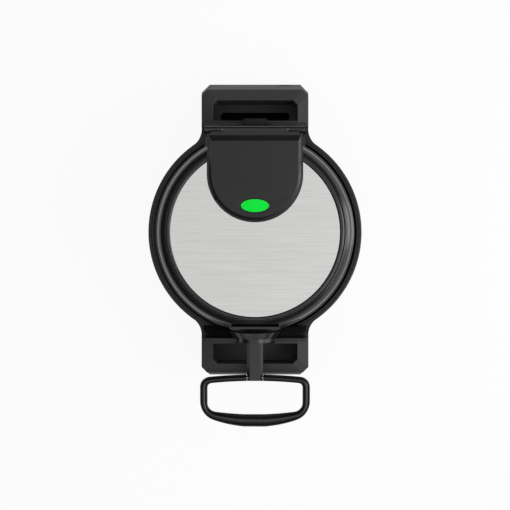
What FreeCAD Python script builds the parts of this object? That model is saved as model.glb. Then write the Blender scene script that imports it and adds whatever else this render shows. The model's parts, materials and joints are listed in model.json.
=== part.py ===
import FreeCAD, Part
import math
import os
import re
import Sketcher

# Flip-over donut maker. Millimetres, +Z up, standing on Z 0 with the origin under its middle.
# +Y is the rear, where the hinge is, and -Y the front, where the handle is.

SIZES = {
    # Donut moulds, which set the size of the head
    "ring_major": 25.0,
    "ring_minor": 13.0,
    "ring_gap": 4.6,
    "mould_wall": 2.5,
    "mould_margin": 3.8,
    "mould_gap": 0.6,
    # Head shells
    "head_height": 43.0,
    "head_wall": 2.5,
    "fit_gap": 0.3,
    "lip_width": 6.8,
    "lip_height": 8.0,
    "lip_step": 2.8,
    "wall_draft": 1.3,
    "shoulder_width": 8.3,
    "shoulder_drop": 11.5,
    "shoulder_radius": 11.6,
    "groove_width": 0.8,
    "groove_depth": 1.0,
    "bead_width": 4.9,
    "bead_radius": 3.0,
    "disc_thickness": 0.8,
    "shield_thickness": 0.8,
    "shield_depth": 21.0,
    "ledge_width": 3.1,
    "ledge_height": 3.4,
    # Heaters and controls
    "heater_radius": 3.25,
    "heater_angle": 330.0,
    "thermostat_radius": 8.0,
    "thermostat_height": 9.0,
    "fuse_radius": 2.5,
    "fuse_length": 15.0,
    "fuse_offset": 9.5,
    # Hinge cover on the lid
    "cover_half_width": 50.8,
    "cover_tip": 10.6,
    "cover_rear": 104.6,
    "cover_rise": 5.8,
    "cover_bevel": 4.8,
    "cover_rear_bevel": 8.3,
    "cover_rim_width": 2.0,
    "cover_rim_height": 1.6,
    "cover_wall": 1.8,
    "apron_half_width": 47.0,
    "apron_thickness": 2.0,
    "lens_half_length": 14.8,
    "lens_half_width": 6.9,
    "lens_centre": 27.9,
    "lens_flange": 1.5,
    "lamp_radius": 4.5,
    "lamp_tail": 9.0,
    # Lid hinge
    "hinge_height": 25.0,
    "hinge_setback": 1.4,
    "hinge_pin_radius": 2.0,
    "knuckle_radius": 4.6,
    "knuckle_half_width": 35.0,
    "ear_gap": 0.8,
    "ear_width": 18.0,
    "arm_bottom": 14.5,
    "lug_half_width": 55.0,
    "lug_reach": 6.6,
    "lug_corner": 4.0,
    "lug_depth": 28.0,
    "running_clearance": 0.05,
    # Latch
    "latch_half_width": 25.0,
    "latch_pivot_height": 24.0,
    "latch_pivot_setback": 5.1,
    "latch_pin_radius": 1.3,
    "latch_knuckle": 2.7,
    "latch_thickness": 2.7,
    "latch_top": 37.5,
    "latch_bottom": 10.0,
    "latch_lean": 2.2,
    "nose_half_width": 12.0,
    "nose_height": 2.3,
    "nose_gap": 1.6,
    "nose_side_gap": 1.0,
    "recess_depth": 5.8,
    "recess_wall": 1.8,
    # Turning bearings and handle
    "turn_clearance": 2.8,
    "boss_gap": 0.6,
    "boss_radius": 29.5,
    "boss_length": 7.0,
    "collar_radius": 23.0,
    "journal_radius": 20.0,
    "journal_length": 4.5,
    "saddle_wall": 2.0,
    "saddle_flange": 0.6,
    "pivot_radius": 8.5,
    "pivot_bore": 5.5,
    "pivot_boss": 13.0,
    "bearing_half_width": 12.8,
    "bearing_foot": 20.0,
    "bearing_gap": 0.8,
    "stem_half_width": 8.9,
    "stem_root": 8.0,
    "stem_bevel": 3.0,
    "stem_length": 39.7,
    "stem_eye": 3.6,
    "rod_radius": 2.0,
    "rod_half_length": 24.0,
    "loop_half_width": 60.4,
    "loop_length": 57.4,
    "loop_rail": 8.2,
    "loop_bar": 6.8,
    "loop_grip": 13.6,
    "loop_thickness": 10.0,
    "loop_near_corner": 10.5,
    "loop_far_corner": 22.0,
    "loop_near_bow": 490.0,
    "loop_far_bow": 139.0,
    "hole_near_corner": 4.6,
    "hole_far_corner": 10.0,
    "hole_far_bow": 338.0,
    "loop_round": 2.0,
    "crest_inset": 2.2,
    "crest_height": 1.1,
    # Base
    "foot_radius": 9.0,
    "foot_height": 4.0,
    "foot_inset": 15.0,
    "plate_thickness": 2.5,
    "plate_inset": 1.0,
    "bowl_floor": 2.5,
    "rim_gap": 17.4,
    "rim_land": 3.8,
    "rim_height": 38.0,
    "rim_round": 1.5,
    "bowl_slope": 15.0,
    "base_wall": 3.0,
    "web_fillet": 23.5,
    "web_bite": 0.4,
    "web_run": 17.0,
    "tray_wall": 1.5,
    "tray_gap": 0.4,
    "panel_gap": 9.2,
    "panel_thickness": 3.4,
    "cradle_reach": 7.4,
    "cradle_half_low": 61.0,
    "cradle_half_side": 59.0,
    "cradle_half_knee": 35.0,
    "cradle_half_top": 24.0,
    "cradle_toe": 2.0,
    "cradle_side": 27.0,
    "cradle_knee": 37.0,
    "cradle_drop": 3.0,
    "ledge_drop": 9.0,
    "eave_drop": 4.0,
    "post_half_top": 59.4,
    "post_half_foot": 64.3,
    "post_wall": 3.0,
    "post_chamfer_top": 6.3,
    "post_chamfer_foot": 9.7,
    "ridge_land": 0.8,
    "well_half_width": 46.9,
    "well_reach": 22.5,
    "well_depth": 40.0,
    "well_wall": 2.5,
    "well_chamfer": 5.0,
    "well_arch": 6.0,
    "slot_half_width": 39.4,
    "slot_near": 3.5,
    "slot_far": 13.0,
    "slot_corner": 4.5,
    "front_frame": 10.4,
    "front_flare": 15.6,
    "knee_gap": 1.6,
    "rear_frame": 12.4,
    "rear_flare": 19.6,
    "neck_relief": 13.0,
    "journal_relief": 1.5,
    "gland_radius": 8.5,
    "gland_bore": 3.6,
    "gland_length": 14.0,
    "gland_height": 24.0,
    "gland_inset": 0.5,
    "gland_offset": 34.0,
}

# Sizes that follow from the driving ones
ring_reach = "(ring_major + ring_minor)"
ring_offset = f"({ring_reach} + ring_gap / 2)"
ring_orbit = f"({ring_offset} * sqrt(2))"
mould_radius = f"({ring_orbit} + {ring_reach} + mould_wall + mould_margin)"
lip_bore = f"({mould_radius} + fit_gap)"
lip_radius = f"({lip_bore} + lip_width)"
wall_foot = f"({lip_radius} - lip_step)"
shoulder_edge = f"({wall_foot} - wall_draft)"
shoulder_start = f"({shoulder_edge} - shoulder_width)"
bead_edge = f"({shoulder_start} - groove_width)"
bead_foot = f"({bead_edge} - bead_width)"
disc_radius = f"({bead_foot} - fit_gap)"
half_gap = "(mould_gap / 2)"
deck_top = "(head_height - disc_thickness)"
deck_under = f"({deck_top} - head_wall)"
shield_seat = f"({half_gap} + mould_wall)"
ledge_seat = f"({shield_seat} + shield_thickness)"
shield_radius = f"({lip_bore} - ledge_width - fit_gap / 2)"

plate_top = "(foot_height + plate_thickness)"
bowl_top = f"({plate_top} + bowl_floor)"
sweep_radius = f"sqrt({lip_radius}^2 + lip_height^2)"
axis = f"({bowl_top} + tray_wall + turn_clearance + {sweep_radius})"
rim_radius = f"({lip_radius} + rim_gap)"
rim_inner = f"({rim_radius} - rim_land)"
bowl_radius = f"({rim_inner} - bowl_slope)"

panel_face = f"({lip_radius} + panel_gap)"
panel_back = f"({panel_face} + panel_thickness)"
cradle_face = f"({panel_face} - cradle_reach)"
well_near = f"({panel_back} + well_wall)"
well_far = f"({well_near} + well_reach)"
post_top = f"({axis} - ledge_drop)"
eave = f"({post_top} - eave_drop)"
well_floor = f"({post_top} - well_depth)"
front_reach = f"({well_far} + front_frame)"
front_foot_reach = f"({front_reach} + front_flare)"
rear_reach = f"({well_far} + rear_frame)"
rear_foot_reach = f"({rear_reach} + rear_flare)"

boss_back = f"({lip_radius} + boss_gap)"
boss_front = f"({boss_back} + boss_length)"
journal_front = f"({boss_front} + journal_length)"
rod_distance = f"({journal_front} + stem_length)"
lug_face = f"({lip_radius} + lug_reach)"
bearing_near = f"({lug_face} + bearing_gap)"
bearing_bore = "(pivot_radius + running_clearance)"
saddle_bore = "(journal_radius + running_clearance)"
saddle_radius = f"({saddle_bore} + saddle_wall)"
hinge_distance = f"({lip_radius} + hinge_setback)"
hinge_level = f"({axis} + hinge_height)"
ear_near = "(knuckle_half_width + ear_gap)"
ear_far = f"({ear_near} + ear_width)"
loop_near = f"({rod_distance} - loop_bar / 2)"
loop_far = f"({loop_near} + loop_length)"
latch_distance = f"({lip_radius} - latch_pivot_setback)"
recess_back = f"({latch_distance} - recess_depth)"
recess_half = "(latch_half_width + fit_gap + recess_wall)"
arm_root = f"({shoulder_edge} - lip_width)"
# The pieces are drawn about the head's centre and placed so that the origin is under the middle
middle_shift = f"(({loop_far} - {rear_foot_reach}) / 2)"

doc = FreeCAD.newDocument("donut_maker")
dims = doc.addObject("Spreadsheet::Sheet", "dims")
for row, (alias, millimetres) in enumerate(SIZES.items(), 1):
    dims.set(f"A{row}", alias)
    dims.set(f"B{row}", str(millimetres))
    dims.setAlias(f"B{row}", alias)
doc.recompute()

nodes = []


def bound(expression):
    return re.sub(r"[a-z]+(?:_[a-z]+)+", lambda word: f"dims.{word.group()}", expression)


def number(expression):
    return float(dims.evalExpression(bound(expression)))


def bind(feature, **expressions):
    for name, expression in expressions.items():
        feature.setExpression(name.replace("__", "."), bound(expression))


def finished(feature, label):
    feature.Label = label
    bind(feature, Placement__Base__y=middle_shift)
    nodes.append(feature)
    return feature


def new_body(label):
    return finished(doc.addObject("PartDesign::Body", label), label)


def origin_plane(body, role):
    return next(item for item in body.Origin.OriginFeatures if item.Role == role)


def arc_between(here, there, radius, turn):
    chord = there - here
    left = FreeCAD.Vector(-chord.y, chord.x, 0).normalize()
    rise = radius - math.sqrt(max(radius ** 2 - (chord.Length / 2) ** 2, 0))
    middle = (here + there) / 2
    if turn == "left":
        return Part.Arc(here, middle - left * rise, there)
    return Part.Arc(there, middle + left * rise, here)


def draw_circle(drawing, x, y, radius):
    centre = FreeCAD.Vector(number(x), number(y), 0)
    index = drawing.addGeometry(Part.Circle(centre, FreeCAD.Vector(0, 0, 1), number(radius)))
    across = drawing.addConstraint(Sketcher.Constraint("DistanceX", -1, 1, index, 3, centre.x))
    up = drawing.addConstraint(Sketcher.Constraint("DistanceY", -1, 1, index, 3, centre.y))
    size = drawing.addConstraint(Sketcher.Constraint("Radius", index, number(radius)))
    for constraint, expression in ((across, x), (up, y), (size, radius)):
        drawing.setExpression(f"Constraints[{constraint}]", bound(expression))


def draw_outline(drawing, corners):
    # A corner is (x, y), or (x, y, radius, turn) where an arc leads on to the next corner
    spots = [FreeCAD.Vector(number(corner[0]), number(corner[1]), 0) for corner in corners]
    stretches = []
    for place, corner in enumerate(corners):
        here = spots[place]
        there = spots[(place + 1) % len(corners)]
        if len(corner) == 2:
            index = drawing.addGeometry(Part.LineSegment(here, there))
            stretches.append((index, 1, 2))
        else:
            index = drawing.addGeometry(arc_between(here, there, number(corner[2]), corner[3]))
            stretches.append((index, 1, 2) if corner[3] == "left" else (index, 2, 1))
    for place, (index, start, end) in enumerate(stretches):
        after, after_start, after_end = stretches[(place + 1) % len(stretches)]
        drawing.addConstraint(Sketcher.Constraint("Coincident", index, end, after, after_start))
    for corner, spot, (index, start, end) in zip(corners, spots, stretches):
        across = drawing.addConstraint(Sketcher.Constraint("DistanceX", -1, 1, index, start, spot.x))
        drawing.setExpression(f"Constraints[{across}]", bound(corner[0]))
        up = drawing.addConstraint(Sketcher.Constraint("DistanceY", -1, 1, index, start, spot.y))
        drawing.setExpression(f"Constraints[{up}]", bound(corner[1]))
        if len(corner) == 4:
            size = drawing.addConstraint(Sketcher.Constraint("Radius", index, number(corner[2])))
            drawing.setExpression(f"Constraints[{size}]", bound(corner[2]))


def sketch(body, plane, level, *loops):
    # Level is measured along +Z from XY, along -Y from XZ and along +X from YZ
    drawing = body.newObject("Sketcher::SketchObject", f"{body.Label}_sketch")
    drawing.AttachmentSupport = [(origin_plane(body, f"{plane}_Plane"), "")]
    drawing.MapMode = "FlatFace"
    bind(drawing, AttachmentOffset__Base__z=level)
    for loop in loops:
        if isinstance(loop, tuple):
            draw_circle(drawing, *loop)
        else:
            draw_outline(drawing, loop)
    return drawing


def extrude(body, plane, start, stop, *loops, cut=False):
    drawing = sketch(body, plane, start, *loops)
    feature = body.newObject("PartDesign::Pocket" if cut else "PartDesign::Pad", f"{body.Label}_slab")
    feature.Profile = drawing
    feature.Reversed = cut
    bind(feature, Length=f"({stop}) - ({start})")
    return feature


def revolve(body, plane, level, loop, cut=False):
    drawing = sketch(body, plane, level, loop)
    kind = "PartDesign::Groove" if cut else "PartDesign::Revolution"
    feature = body.newObject(kind, f"{body.Label}_turn")
    feature.Profile = drawing
    feature.ReferenceAxis = (drawing, ["V_Axis"])
    feature.Angle = 360
    return feature


def loft(body, plane, *levels, cut=False):
    drawings = [sketch(body, plane, level, outline) for level, outline in levels]
    kind = "PartDesign::SubtractiveLoft" if cut else "PartDesign::AdditiveLoft"
    feature = body.newObject(kind, f"{body.Label}_loft")
    feature.Profile = drawings[0]
    feature.Sections = drawings[1:]
    feature.Ruled = True
    return feature


def mirror(body, role, *features):
    doc.recompute()
    feature = body.newObject("PartDesign::Mirrored", f"{body.Label}_mirror")
    feature.Originals = list(features)
    feature.MirrorPlane = (origin_plane(body, role), [""])
    body.Tip = feature
    return feature


def ring_of(body, count, *features):
    doc.recompute()
    feature = body.newObject("PartDesign::PolarPattern", f"{body.Label}_ring")
    feature.Originals = list(features)
    feature.Axis = (origin_plane(body, "Z_Axis"), [""])
    feature.Angle = 360
    feature.Occurrences = count
    body.Tip = feature
    return feature


def rectangle(left, right, bottom, top):
    return [(left, bottom), (right, bottom), (right, top), (left, top)]


def rounded(half, bottom, top, corner):
    # A rectangle about the middle with round corners
    return [
        (half, f"{bottom} + {corner}"), (half, f"{top} - {corner}", corner, "left"),
        (f"{half} - {corner}", top), (f"-({half} - {corner})", top, corner, "left"),
        (f"-{half}", f"{top} - {corner}"), (f"-{half}", f"{bottom} + {corner}", corner, "left"),
        (f"-({half} - {corner})", bottom), (f"{half} - {corner}", bottom, corner, "left"),
    ]


def cylinder(name, radius, length, x, y, z, along="z"):
    turns = {"x": ((0, 1, 0), 90), "y": ((1, 0, 0), -90), "z": ((0, 0, 1), 0)}
    feature = doc.addObject("Part::Cylinder", name)
    direction, angle = turns[along]
    feature.Placement.Rotation = FreeCAD.Rotation(FreeCAD.Vector(*direction), angle)
    bind(feature, Radius=radius, Height=length)
    bind(feature, Placement__Base__x=x, Placement__Base__y=y, Placement__Base__z=z)
    return feature


def rod(label, radius, length, x, y, z, along="z"):
    feature = cylinder(f"{label}_rod", radius, length, x, f"{y} + {middle_shift}", z, along)
    feature.Label = label
    nodes.append(feature)


def post_outline(side, half, near, reach, chamfer):
    # Plan of a post: square towards the head, chamfered on the outer corners
    def at(distance):
        return f"{side} * ({distance})"
    return [
        (f"{half}", at(near)),
        (f"{half}", at(f"{reach} - {chamfer}")),
        (f"{half} - {chamfer}", at(reach)),
        (f"-({half} - {chamfer})", at(reach)),
        (f"-({half})", at(f"{reach} - {chamfer}")),
        (f"-({half})", at(near)),
    ]


def make_base_plate():
    body = new_body("base_plate")
    half = "(post_half_foot - plate_inset)"
    front = f"({front_foot_reach} - plate_inset)"
    rear = f"({rear_foot_reach} - plate_inset)"
    chamfer = "post_chamfer_foot"
    outline = [
        (half, f"-({front} - {chamfer})"),
        (half, f"{rear} - {chamfer}"),
        (f"{half} - {chamfer}", rear),
        (f"-({half} - {chamfer})", rear),
        (f"-{half}", f"{rear} - {chamfer}"),
        (f"-{half}", f"-({front} - {chamfer})"),
        (f"-({half} - {chamfer})", f"-{front}"),
        (f"{half} - {chamfer}", f"-{front}"),
    ]
    extrude(body, "XY", "foot_height", plate_top, outline)
    extrude(body, "XY", "foot_height", plate_top, ("0", "0", f"{rim_radius} - plate_inset"))


def make_rubber_feet():
    feet = doc.addObject("Part::Compound", "rubber_feet")
    places = []
    for side in ("-1", "1"):
        for y in (f"-({front_foot_reach} - foot_inset)", f"{rear_foot_reach} - foot_inset"):
            x = f"{side} * (post_half_foot - foot_inset)"
            places.append(cylinder("foot", "foot_radius", "foot_height", x, y, "0"))
    feet.Links = places
    finished(feet, "rubber_feet")


def post_at(height, foot, top):
    # A measure of the leaning post sides at a height, between its values at foot and eave
    share = f"(({height} - {plate_top}) / ({eave} - {plate_top}))"
    return f"({foot} + ({top} - {foot}) * {share})"


def post_half_at(height):
    return post_at(height, "post_half_foot", "post_half_top")


def web_outline(height, across, along):
    # Plan of the web that runs from the round bowl into the side of a post
    half = post_half_at(height)
    centre_x = f"({half} + web_fillet)"
    root = f"({rim_radius} - web_bite)"
    centre_y = f"sqrt(({root} + web_fillet)^2 - {centre_x}^2)"
    share = f"({root} / ({root} + web_fillet))"
    turn = "right" if across == along else "left"
    inner = f"({half} - web_run)"
    return [
        (f"{across} * {inner}", f"{along} * sqrt(({rim_radius} - base_wall / 2)^2 - {inner}^2)"),
        (f"{across} * {centre_x} * {share}", f"{along} * {centre_y} * {share}", "web_fillet", turn),
        (f"{across} * {half}", f"{along} * {centre_y}"),
        (f"{across} * {half}", f"{along} * {panel_face}"),
        (f"{across} * {inner}", f"{along} * {panel_face}"),
    ]


def make_base_bowl():
    body = new_body("base_bowl")
    top = "rim_height"
    hollow_top = "(rim_height - 2 * base_wall)"
    revolve(body, "XZ", "0", [
        ("0", plate_top),
        (f"{bowl_radius} + base_wall", plate_top),
        (f"{rim_radius} - base_wall", hollow_top),
        (f"{rim_radius} - base_wall", plate_top),
        (rim_radius, plate_top),
        (rim_radius, f"{top} - rim_round", "rim_round", "left"),
        (f"{rim_radius} - rim_round", top),
        (rim_inner, top),
        (bowl_radius, bowl_top),
        ("0", bowl_top),
    ])
    for across in ("1", "-1"):
        for along in ("1", "-1"):
            foot = web_outline(plate_top, across, along)
            loft(body, "XY", (plate_top, foot), (top, web_outline(top, across, along)))
    for side in ("1", "-1"):
        near = f"{side} * ({panel_face} - fit_gap)"
        far = f"{side} * ({rim_radius} + base_wall)"
        opening = rectangle("-(post_half_top - post_wall)", "post_half_top - post_wall", near, far)
        extrude(body, "XY", "0", f"{top} + base_wall", opening, cut=True)


def make_post(label, side, reach, foot_reach, knees=()):
    # The outer wall flares from each knee, or from the eave, down to the foot
    body = new_body(label)
    lower = [(plate_top, "post_half_foot", foot_reach, "post_chamfer_foot")]
    for knee in knees:
        chamfer = post_at(knee, "post_chamfer_foot", "post_chamfer_top")
        lower.append((knee, post_half_at(knee), reach, chamfer))

    def walls(top, near, inset):
        return [(level, post_outline(side, f"({half} - {inset})", near, f"({far} - {inset})", chamfer))
                for level, half, far, chamfer in lower + [(top, "post_half_top", reach, "post_chamfer_top")]]
    outside = walls(eave, panel_face, "0")
    ridge_half = "(well_half_width + ridge_land)"
    ridge_far = f"({well_far} + ridge_land)"
    ridge = post_outline(side, ridge_half, panel_face, ridge_far, "well_chamfer")
    loft(body, "XY", *outside)
    loft(body, "XY", outside[-1], (post_top, ridge))
    inner_near = f"({panel_face} - post_wall)"
    loft(body, "XY", *walls(f"({eave} - post_wall)", inner_near, "post_wall"), cut=True)
    tub = post_outline(
        side, "(well_half_width + well_wall)", panel_back, f"({well_far} + well_wall)", "well_chamfer")
    extrude(body, "XY", f"{well_floor} - well_wall", eave, tub)
    well = post_outline(side, "well_half_width", well_near, well_far, "well_chamfer")
    extrude(body, "XY", well_floor, f"{post_top} + well_wall", well, cut=True)
    panel_slot = rectangle(
        "-(post_half_top - post_wall)", "post_half_top - post_wall",
        f"{side} * {inner_near}", f"{side} * {panel_back}")
    extrude(body, "XY", well_floor, f"{post_top} + well_wall", panel_slot, cut=True)
    return body


def make_front_post():
    # The front knee lies just below the turning handle
    knee = f"({axis} - loop_half_width - knee_gap)"
    body = make_post("front_post", "-1", front_reach, front_foot_reach, (knee,))
    # The well's floor is arched
    arch = "((well_half_width^2 + well_arch^2) / (2 * well_arch))"
    extrude(body, "XZ", well_near, well_far, [
        ("well_half_width", well_floor, arch, "left"),
        ("-well_half_width", well_floor),
    ])
    journal_room = "(journal_radius + saddle_wall + journal_relief)"
    revolve(body, "XY", axis, [
        ("0", f"-{panel_face}"),
        ("0", f"-({well_near} + well_wall)"),
        (journal_room, f"-({well_near} + well_wall)"),
        (journal_room, f"-{panel_face}"),
    ], cut=True)
    revolve(body, "XY", axis, [
        ("0", f"-{well_near}"),
        ("0", f"-({front_reach} + post_wall)"),
        ("neck_relief", f"-({front_reach} + post_wall)"),
        ("neck_relief", f"-{well_near}"),
    ], cut=True)


def make_rear_post():
    body = make_post("rear_post", "1", rear_reach, rear_foot_reach)
    near, far = f"({well_near} + slot_near)", f"({well_near} + slot_far)"
    slot = rounded("slot_half_width", near, far, "slot_corner")
    extrude(body, "XY", f"{well_floor} - well_wall", well_floor, slot, cut=True)
    notch = rectangle("-bearing_half_width", "bearing_half_width", f"{panel_face}", f"{well_near}")
    extrude(body, "XY", f"{axis} - bearing_foot", axis, notch, cut=True)
    opening = ("gland_offset", "gland_height", "gland_radius")
    extrude(body, "XZ", f"-({rear_foot_reach} + post_wall)", f"-{rear_reach}", opening, cut=True)


def panel_outline():
    # A bearing panel fills the open inner side of a post, between the leaning side walls
    low = f"({post_half_at(plate_top)} - post_wall - fit_gap)"
    high = f"({post_half_at(post_top)} - post_wall - fit_gap)"
    return [(f"-{low}", plate_top), (low, plate_top), (high, post_top), (f"-{high}", post_top)]


def make_front_panel():
    body = new_body("front_panel")
    extrude(body, "XZ", panel_face, panel_back, panel_outline())
    # The cradle rises from the bowl's rim to the saddle and leans back towards the panel
    loft(body, "XZ",
         (panel_face, cradle_section("cradle_half_side", "rim_height + cradle_side",
                                     "cradle_half_top", f"{post_top} - cradle_drop")),
         (cradle_face, cradle_section("cradle_half_low", "rim_height + cradle_toe",
                                      "cradle_half_knee", "rim_height + cradle_knee")))
    revolve(body, "XY", axis, [
        ("0", f"-{panel_face}"),
        (f"{saddle_radius} + saddle_wall + fit_gap", f"-{panel_face}"),
        ("boss_radius + journal_relief", f"-{cradle_face}"),
        ("0", f"-{cradle_face}"),
    ], cut=True)
    extrude(body, "XZ", panel_face, panel_back, ("0", axis, saddle_radius), cut=True)


def cradle_section(half, side, half_top, top):
    return [
        (f"-{half}", "rim_height"), (half, "rim_height"), (half, side),
        (half_top, top), (f"-{half_top}", top), (f"-{half}", side),
    ]


def make_rear_panel():
    body = new_body("rear_panel")
    extrude(body, "XZ", f"-{panel_back}", f"-{panel_face}", panel_outline())
    notch = rectangle("-bearing_half_width", "bearing_half_width", f"{axis} - bearing_foot", axis)
    extrude(body, "XZ", f"-{panel_back}", f"-{panel_face}", notch, cut=True)


def make_front_saddle():
    body = new_body("front_saddle")
    flange_radius = f"({saddle_radius} + saddle_wall)"
    revolve(body, "XY", axis, [
        (saddle_bore, f"-({panel_face} - saddle_flange)"),
        (saddle_bore, f"-{panel_back}"),
        (saddle_radius, f"-{panel_back}"),
        (saddle_radius, f"-{panel_face}"),
        (flange_radius, f"-{panel_face}"),
        (flange_radius, f"-({panel_face} - saddle_flange)"),
    ])
    span = f"(2 * {flange_radius})"
    above = rectangle(f"-{span}", span, post_top, f"{axis} + {span}")
    extrude(body, "XZ", f"{panel_face} - saddle_wall", f"{panel_back} + saddle_wall", above, cut=True)


def make_rear_bearing():
    # Block and cap meet on the turning axis and hold the pivot tube between them
    for label, sign, turn in (("rear_bearing", "-1", "right"), ("rear_bearing_cap", "1", "left")):
        height = "bearing_foot" if sign == "-1" else "bearing_half_width"
        level = f"({axis} + {sign} * {height})"
        body = new_body(label)
        extrude(body, "XZ", f"-{well_near}", f"-{bearing_near}", [
            (bearing_bore, axis, bearing_bore, turn),
            ("0", f"{axis} + {sign} * {bearing_bore}", bearing_bore, turn),
            (f"-{bearing_bore}", axis),
            ("-bearing_half_width", axis),
            ("-bearing_half_width", level),
            ("bearing_half_width", level),
            ("bearing_half_width", axis),
        ])


def make_cord_gland():
    body = new_body("cord_gland")
    # The gland's mouth lies just inside the leaning rear wall
    wall_at = (f"({rear_foot_reach} - rear_flare * (gland_height + gland_radius - {plate_top})"
               f" / ({eave} - {plate_top}))")
    mouth = f"({wall_at} - gland_inset)"
    opening = ("gland_offset", "gland_height", "gland_bore")
    outside = ("gland_offset", "gland_height", "gland_radius")
    extrude(body, "XZ", f"-{mouth}", f"-({mouth} - gland_length)", outside, opening)


def make_drip_tray():
    body = new_body("drip_tray")
    rise = f"(rim_height - {bowl_top})"
    lean = f"(sqrt({rise}^2 + bowl_slope^2) / {rise})"
    skin = f"(tray_wall * {lean})"
    gap = f"(tray_gap * {lean})"
    foot = f"({bowl_radius} - {gap})"
    top = f"({rim_inner} - {gap})"
    revolve(body, "XZ", "0", [
        ("0", bowl_top),
        (foot, bowl_top),
        (top, "rim_height"),
        (f"{top} - {skin}", "rim_height"),
        (f"{foot} - {skin} + tray_wall * bowl_slope / {rise}", f"{bowl_top} + tray_wall"),
        ("0", f"{bowl_top} + tray_wall"),
    ])
    front = f"-({cradle_face} - 2 * fit_gap)"
    rear = f"({panel_face} - 2 * fit_gap)"
    for near, far in ((f"-{rim_radius}", front), (rear, rim_radius)):
        end = rectangle(f"-{rim_radius}", rim_radius, near, far)
        extrude(body, "XY", "0", "rim_height + base_wall", end, cut=True)


def make_housing(body, sign):
    # Section of a head shell: lip, drafted wall, round shoulder, groove, bead and deck
    turn = "left" if sign == "1" else "right"

    def up(height):
        return f"{axis} + {sign} * ({height})"
    revolve(body, "XZ", "0", [
        (lip_bore, up(half_gap)),
        (lip_radius, up(half_gap)),
        (lip_radius, up("lip_height")),
        (wall_foot, up("lip_height + lip_step")),
        (shoulder_edge, up(f"{deck_top} - shoulder_drop"), "shoulder_radius", turn),
        (shoulder_start, up(deck_top)),
        (f"{shoulder_start} - groove_width / 2", up(f"{deck_top} - groove_depth")),
        (bead_edge, up(deck_top), "bead_radius", turn),
        (bead_foot, up("head_height")),
        (bead_foot, up(deck_top)),
        ("0", up(deck_top)),
        ("0", up(deck_under)),
        (f"{shoulder_start} - head_wall / 2", up(deck_under)),
        (f"{shoulder_edge} - head_wall", up(f"{deck_under} - shoulder_drop + head_wall / 2")),
        (f"{wall_foot} - head_wall", up(f"{ledge_seat} + ledge_height + ledge_width")),
        (f"{lip_bore} - ledge_width", up(f"{ledge_seat} + ledge_height")),
        (f"{lip_bore} - ledge_width", up(ledge_seat)),
        (lip_bore, up(ledge_seat)),
    ])


def make_lower_housing():
    body = new_body("lower_housing")
    make_housing(body, "-1")
    revolve(body, "XY", axis, [
        ("0", f"-{boss_back}"),
        ("boss_radius", f"-{boss_back}"),
        ("collar_radius", f"-{boss_front}"),
        ("journal_radius", f"-{boss_front}"),
        ("journal_radius", f"-{journal_front}"),
        ("0", f"-{journal_front}"),
    ])
    bridge = rectangle("-collar_radius", "collar_radius", f"{axis} - boss_radius", f"{axis} - {half_gap}")
    extrude(body, "XZ", f"{shoulder_edge} - head_wall / 2", boss_back, bridge)
    slot_bottom = f"({axis} + latch_bottom - nose_height / 2)"
    slot_top = f"({axis} + latch_bottom + 2 * nose_height)"
    slot_half = "(nose_half_width + nose_side_gap)"
    slot = rectangle(f"-{slot_half}", slot_half, slot_bottom, slot_top)
    extrude(body, "XZ", f"{boss_back} - boss_gap", f"{boss_back} + boss_length / 2", slot, cut=True)
    wall_line = f"({shoulder_edge} - head_wall / 2)"
    lug_root = f"sqrt({wall_line}^2 - lug_half_width^2)"
    extrude(body, "XY", f"{axis} - lug_depth", f"{axis} - {half_gap}", [
        ("lug_half_width", lug_root),
        ("lug_half_width", f"{lug_face} - lug_corner", "lug_corner", "left"),
        ("lug_half_width - lug_corner", lug_face),
        ("-(lug_half_width - lug_corner)", lug_face, "lug_corner", "left"),
        ("-lug_half_width", f"{lug_face} - lug_corner"),
        ("-lug_half_width", lug_root, wall_line, "right"),
    ])
    extrude(body, "XZ", f"-{lug_face}", f"-({lip_radius} + boss_gap)", ("0", axis, "pivot_boss"))
    ear_back = f"({hinge_distance} + knuckle_radius)"
    ear_front = f"({hinge_distance} - knuckle_radius)"
    ear = extrude(body, "YZ", ear_near, ear_far, [
        (ear_front, f"{axis} - knuckle_radius"),
        (ear_back, f"{axis} - knuckle_radius"),
        (ear_back, hinge_level, "knuckle_radius", "left"),
        (hinge_distance, f"{hinge_level} + knuckle_radius", "knuckle_radius", "left"),
        (ear_front, hinge_level),
    ])
    mirror(body, "YZ_Plane", ear)
    extrude(body, "YZ", f"-{ear_far}", ear_far, (hinge_distance, hinge_level, "hinge_pin_radius"), cut=True)
    extrude(body, "XZ", f"-{lug_face}", f"-({lip_radius} + boss_gap)", ("0", axis, "pivot_radius"), cut=True)


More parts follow.
